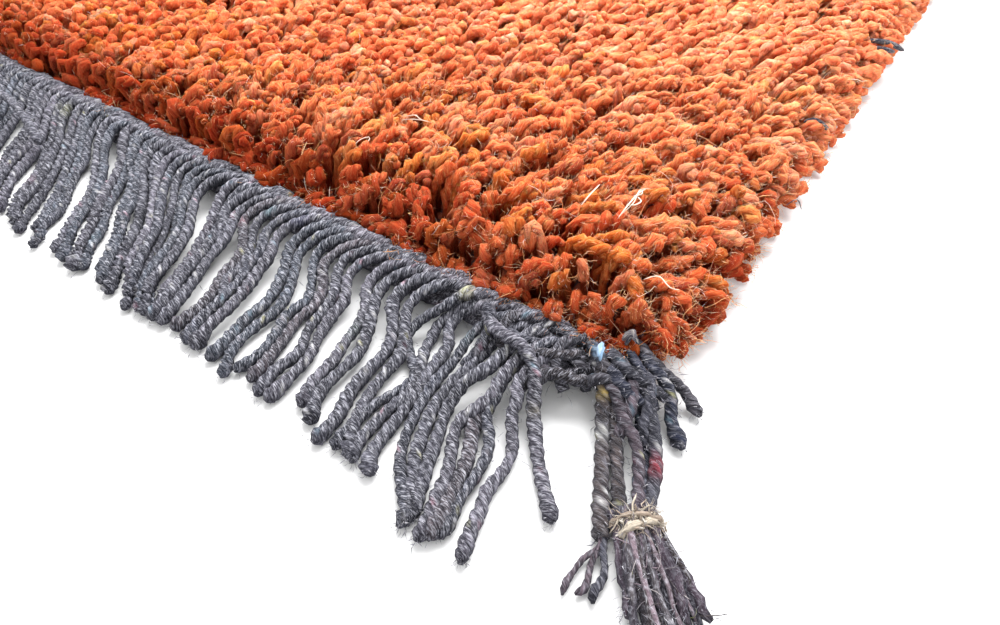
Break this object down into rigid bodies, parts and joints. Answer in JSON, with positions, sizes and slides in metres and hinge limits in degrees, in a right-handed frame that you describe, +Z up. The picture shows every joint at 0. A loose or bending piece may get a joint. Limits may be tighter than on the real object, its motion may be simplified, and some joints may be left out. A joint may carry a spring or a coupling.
{
  "type": "nepalese rug",
  "caption": "Flat rectangular hand-knotted wool rug with thick shaggy rust pile, a grey plaited edge and a twisted cord fringe at both short ends, and a loose cord tassel at a corner.",
  "frame": {"origin": "middle of the underside, on the surface that the rug lies on", "axes": "+Z up; the long sides run along Y, the plaited ends along X, and the pile leans towards +X and +Y; the near end is at -Y, and its corner tassel at +X"},
  "size_m": [0.6864, 1.0646, 0.03],
  "materials": {
    "pile_yarn": "thick plied wool pile, rust orange, matte and hairy",
    "warp_yarn": "three-ply recycled yarn, heathered grey with stray coloured flecks, matte"
  },
  "bodies": {
    "root": {"knotted_field": "pile_yarn", "plaited_edge_near": "warp_yarn", "fringe_near": "warp_yarn", "corner_tassel_near": "warp_yarn", "plaited_edge_far": "warp_yarn", "fringe_far": "warp_yarn", "corner_tassel_far": "warp_yarn"}
  },
  "joints": []
}
